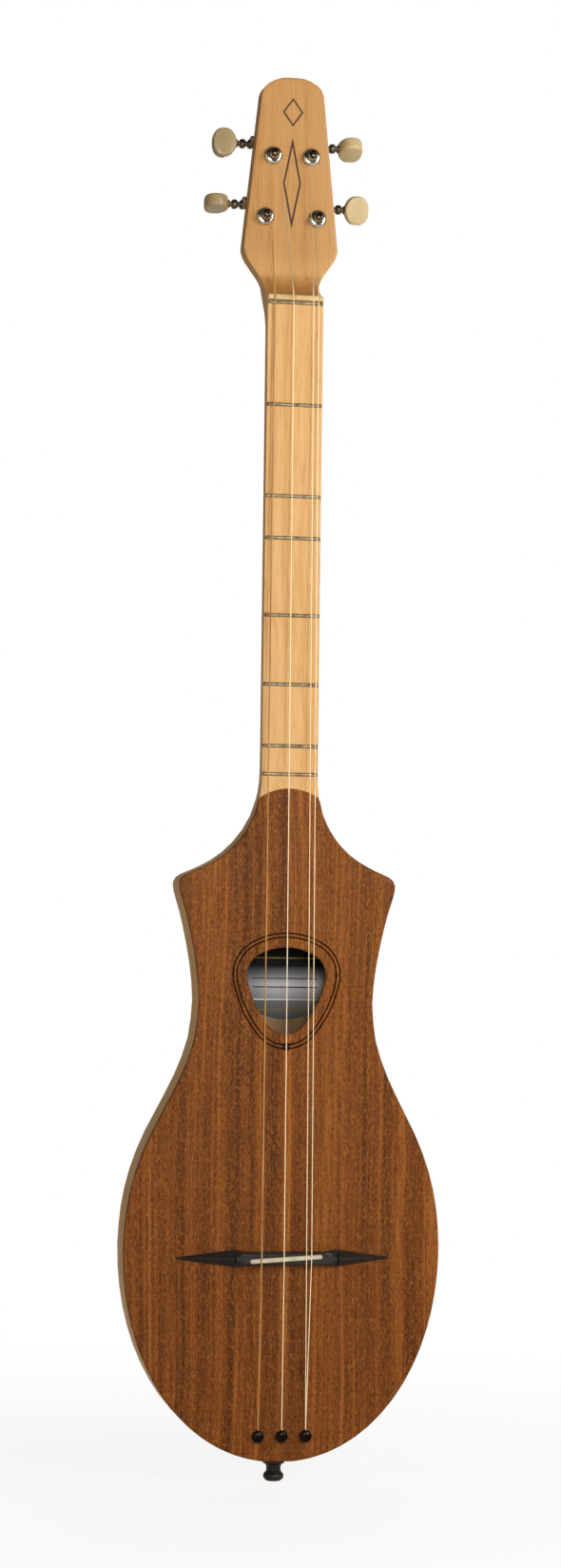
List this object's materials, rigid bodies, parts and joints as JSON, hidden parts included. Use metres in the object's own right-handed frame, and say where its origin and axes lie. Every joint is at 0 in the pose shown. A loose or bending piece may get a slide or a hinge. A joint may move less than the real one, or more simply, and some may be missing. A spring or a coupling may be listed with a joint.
{
  "type": "stick dulcimer",
  "caption": "Fretted stick dulcimer: hollow one-piece maple body and neck, mahogany soundboard, floating bridge, strings and open-gear tuners that turn.",
  "frame": {"origin": "where the end pin meets the tail, on the centre line, half way through the depth of the plank", "axes": "+Z along the instrument from the tail to the head, -Y out of the soundboard, +X to the right when facing the soundboard"},
  "size_m": [0.204, 0.0667, 0.9083],
  "materials": {
    "maple": "satin oil",
    "mahogany": "satin lacquer",
    "spruce": "bare",
    "label_foil": "satin print",
    "black_plastic": "matt",
    "cream_plastic": "polished",
    "button_plastic": "polished, slightly translucent",
    "fret_wire": "polished",
    "bronze_string": "wound",
    "plain_string": "bright",
    "black_steel": "blackened",
    "nickel": "aged nickel plate",
    "gear_steel": "machined",
    "chrome": "polished",
    "black_felt": "felt"
  },
  "bodies": {
    "root": {"body_neck_and_head": "maple", "soundboard": "mahogany", "brace_upper": "spruce", "brace_lower": "spruce", "bridge_plate": "maple", "label": "label_foil", "bridge": "black_plastic", "saddle": "cream_plastic", "nut": "cream_plastic", "zero_fret": "fret_wire", "frets": "fret_wire", "string_bass": "bronze_string", "string_middle": "plain_string", "string_treble_inner": "plain_string", "string_treble_outer": "plain_string", "anchor_screws": "black_steel", "end_pin": "black_plastic", "end_pin_screw": "nickel", "end_pin_felt": "black_felt", "plate_screws": "nickel", "bass_plate": "nickel", "bass_bushing": "chrome", "middle_plate": "nickel", "middle_bushing": "chrome", "inner_plate": "nickel", "inner_bushing": "chrome", "outer_plate": "nickel", "outer_bushing": "chrome"},
    "bass_knob": {"bass_worm": "nickel", "bass_button": "button_plastic"},
    "bass_string_post": {"bass_post": "chrome", "bass_gear": "gear_steel", "bass_gear_screw": "nickel", "bass_windings": "bronze_string"},
    "middle_knob": {"middle_worm": "nickel", "middle_button": "button_plastic"},
    "middle_string_post": {"middle_post": "chrome", "middle_gear": "gear_steel", "middle_gear_screw": "nickel", "middle_windings": "plain_string"},
    "inner_knob": {"inner_worm": "nickel", "inner_button": "button_plastic"},
    "inner_string_post": {"inner_post": "chrome", "inner_gear": "gear_steel", "inner_gear_screw": "nickel", "inner_windings": "plain_string"},
    "outer_knob": {"outer_worm": "nickel", "outer_button": "button_plastic"},
    "outer_string_post": {"outer_post": "chrome", "outer_gear": "gear_steel", "outer_gear_screw": "nickel", "outer_windings": "plain_string"}
  },
  "joints": [
    {"name": "bass_knob_turn", "type": "hinge", "parent": "root", "child": "bass_knob", "pos_m": [-0.0223, 0.0258, 0.8121], "axis": [1, 0, 0], "continuous": true},
    {"name": "bass_post_turn", "type": "hinge", "parent": "root", "child": "bass_string_post", "pos_m": [-0.0173, 0.0258, 0.8011], "axis": [0, 1, 0], "continuous": true},
    {"name": "middle_knob_turn", "type": "hinge", "parent": "root", "child": "middle_knob", "pos_m": [-0.0177, 0.0258, 0.8524], "axis": [1, 0, 0], "continuous": true},
    {"name": "middle_post_turn", "type": "hinge", "parent": "root", "child": "middle_string_post", "pos_m": [-0.0127, 0.0258, 0.8414], "axis": [0, 1, 0], "continuous": true},
    {"name": "inner_knob_turn", "type": "hinge", "parent": "root", "child": "inner_knob", "pos_m": [0.0177, 0.0258, 0.8524], "axis": [1, 0, 0], "continuous": true},
    {"name": "inner_post_turn", "type": "hinge", "parent": "root", "child": "inner_string_post", "pos_m": [0.0127, 0.0258, 0.8414], "axis": [0, 1, 0], "continuous": true},
    {"name": "outer_knob_turn", "type": "hinge", "parent": "root", "child": "outer_knob", "pos_m": [0.0223, 0.0258, 0.8121], "axis": [1, 0, 0], "continuous": true},
    {"name": "outer_post_turn", "type": "hinge", "parent": "root", "child": "outer_string_post", "pos_m": [0.0173, 0.0258, 0.8011], "axis": [0, 1, 0], "continuous": true}
  ],
  "couplings": [
    {"joint": "bass_post_turn", "follows": "bass_knob_turn", "ratio": 0.071429},
    {"joint": "middle_post_turn", "follows": "middle_knob_turn", "ratio": 0.071429},
    {"joint": "inner_post_turn", "follows": "inner_knob_turn", "ratio": -0.071429},
    {"joint": "outer_post_turn", "follows": "outer_knob_turn", "ratio": -0.071429}
  ]
}
